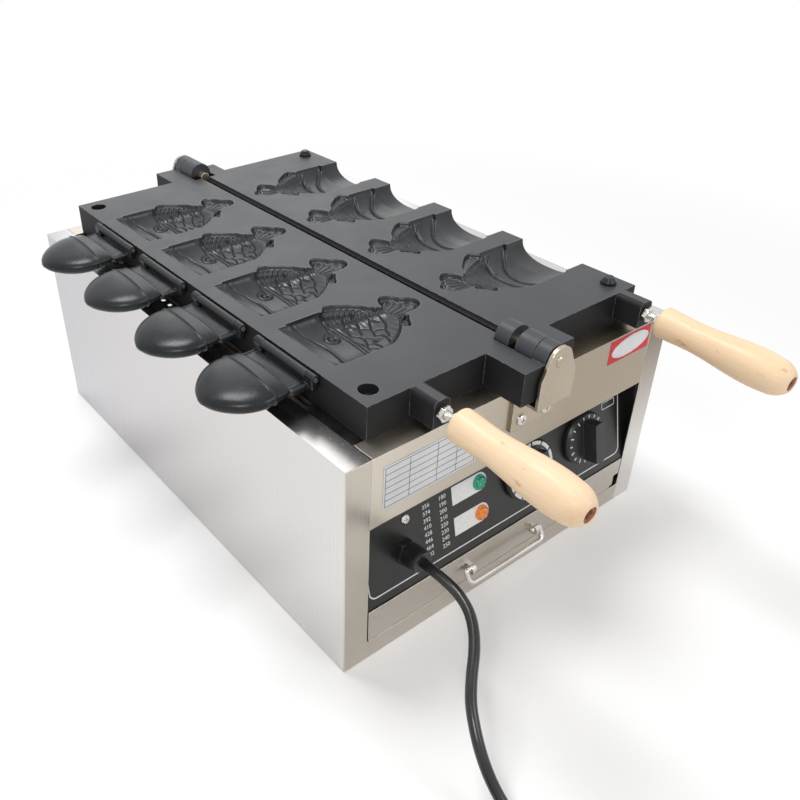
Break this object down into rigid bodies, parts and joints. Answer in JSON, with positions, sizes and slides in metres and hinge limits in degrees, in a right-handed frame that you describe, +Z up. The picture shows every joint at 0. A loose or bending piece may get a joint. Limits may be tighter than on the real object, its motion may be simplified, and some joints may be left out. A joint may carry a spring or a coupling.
{
  "type": "fish-cake maker",
  "caption": "Countertop electric fish-cake maker: two hinged casting plates with fish moulds and swing-out mouth cores over a stainless cabinet with dials, lamps and a drip tray.",
  "frame": {"origin": "middle of the cabinet's base, on the table", "axes": "+Z up, +Y to the back of the cabinet, +X to the right seen from the control side; the plates' hinge runs along Y over the origin"},
  "size_m": [0.529, 0.896, 0.2676],
  "materials": {
    "stainless": "fine brushed sheet",
    "galvanised": "dull zinc-coated sheet",
    "bright_steel": "bright turned steel",
    "panel_black": "satin black lacquer with white print",
    "spec_foil": "silver foil plate",
    "red_label": "gloss red film",
    "heater_sheath": "heat-darkened steel tube",
    "copper": "drawn copper",
    "bakelite": "moulded heat-proof plastic",
    "wire_sleeve": "silicone sleeve",
    "green_lens": "clear green lens",
    "orange_lens": "clear orange lens",
    "gland_nylon": "black nylon",
    "cord_rubber": "glossy black cord",
    "tie_plastic": "black strap",
    "brass_pin": "plated brass",
    "cast_coated": "dark non-stick coating on cast aluminium",
    "wood": "pale turned beech, thin varnish",
    "knob_black": "moulded black plastic with white print"
  },
  "bodies": {
    "cabinet": {"left_wall": "stainless", "right_wall": "stainless", "rear_panel": "stainless", "front_rail": "stainless", "upper_panel": "stainless", "tray_guides": "stainless", "base_pan": "galvanised", "heat_shield": "galvanised", "heater_bars": "galvanised", "control_plate": "panel_black", "panel_screw": "bright_steel", "bracket_screws": "bright_steel", "front_bracket": "bright_steel", "rear_bracket": "bright_steel", "front_hinge_pin": "bright_steel", "rear_hinge_pin": "bright_steel", "spec_plate": "spec_foil", "front_label": "red_label", "left_heater": "heater_sheath", "right_heater": "heater_sheath", "sensor_bulb": "copper", "thermostat_body": "bakelite", "timer_body": "bakelite", "lamp_bodies": "bakelite", "terminal_block": "bakelite", "wire_harness": "wire_sleeve", "power_lens": "green_lens", "heat_lens": "orange_lens", "gland_body": "gland_nylon", "gland_nut": "gland_nylon", "gland_locknut": "gland_nylon", "power_cord": "cord_rubber", "cord_coil": "cord_rubber", "plug_body": "cord_rubber", "cord_tie": "tie_plastic", "plug_pins": "brass_pin"},
    "left_wing": {"left_plate": "cast_coated", "core_pins": "bright_steel", "left_rod": "bright_steel", "left_nuts": "bright_steel", "left_handle": "wood"},
    "right_wing": {"right_plate": "cast_coated", "right_rod": "bright_steel", "right_nuts": "bright_steel", "locating_pegs": "cast_coated", "right_handle": "wood"},
    "core_1": {"mouth_core_1": "cast_coated"},
    "core_2": {"mouth_core_2": "cast_coated"},
    "core_3": {"mouth_core_3": "cast_coated"},
    "core_4": {"mouth_core_4": "cast_coated"},
    "temperature_dial": {"thermostat_shaft": "bright_steel", "thermostat_knob": "knob_black"},
    "timer_dial": {"timer_shaft": "bright_steel", "timer_knob": "knob_black"},
    "tray": {"drip_tray": "stainless", "tray_clips": "bright_steel"},
    "tray_bail": {"tray_handle": "bright_steel"}
  },
  "joints": [
    {"name": "left_fold", "type": "hinge", "parent": "cabinet", "child": "left_wing", "pos_m": [0, 0, 0.2536], "axis": [0, 1, 0], "range_deg": [0, 180]},
    {"name": "right_fold", "type": "hinge", "parent": "cabinet", "child": "right_wing", "pos_m": [0, 0, 0.2536], "axis": [0, -1, 0], "range_deg": [0, 180]},
    {"name": "core_1_fold", "type": "hinge", "parent": "left_wing", "child": "core_1", "pos_m": [-0.1685, -0.16, 0.2495], "axis": [0, 1, 0], "range_deg": [0, 183.5]},
    {"name": "core_2_fold", "type": "hinge", "parent": "left_wing", "child": "core_2", "pos_m": [-0.1685, -0.0545, 0.2495], "axis": [0, 1, 0], "range_deg": [0, 183.5]},
    {"name": "core_3_fold", "type": "hinge", "parent": "left_wing", "child": "core_3", "pos_m": [-0.1685, 0.051, 0.2495], "axis": [0, 1, 0], "range_deg": [0, 183.5]},
    {"name": "core_4_fold", "type": "hinge", "parent": "left_wing", "child": "core_4", "pos_m": [-0.1685, 0.1565, 0.2495], "axis": [0, 1, 0], "range_deg": [0, 183.5]},
    {"name": "temperature_turn", "type": "hinge", "parent": "cabinet", "child": "temperature_dial", "pos_m": [0.029, -0.26746, 0.10579], "axis": [0, 0.9763, -0.2164], "range_deg": [0, 270]},
    {"name": "timer_turn", "type": "hinge", "parent": "cabinet", "child": "timer_dial", "pos_m": [0.11, -0.26746, 0.10579], "axis": [0, 0.9763, -0.2164], "range_deg": [0, 300]},
    {"name": "tray_slide", "type": "slide", "parent": "cabinet", "child": "tray", "axis": [0, -1, 0], "range_m": [0, 0.25]},
    {"name": "bail_swing", "type": "hinge", "parent": "tray", "child": "tray_bail", "pos_m": [-0.0085, -0.284, 0.037], "axis": [-1, 0, 0], "range_deg": [0, 85]}
  ]
}
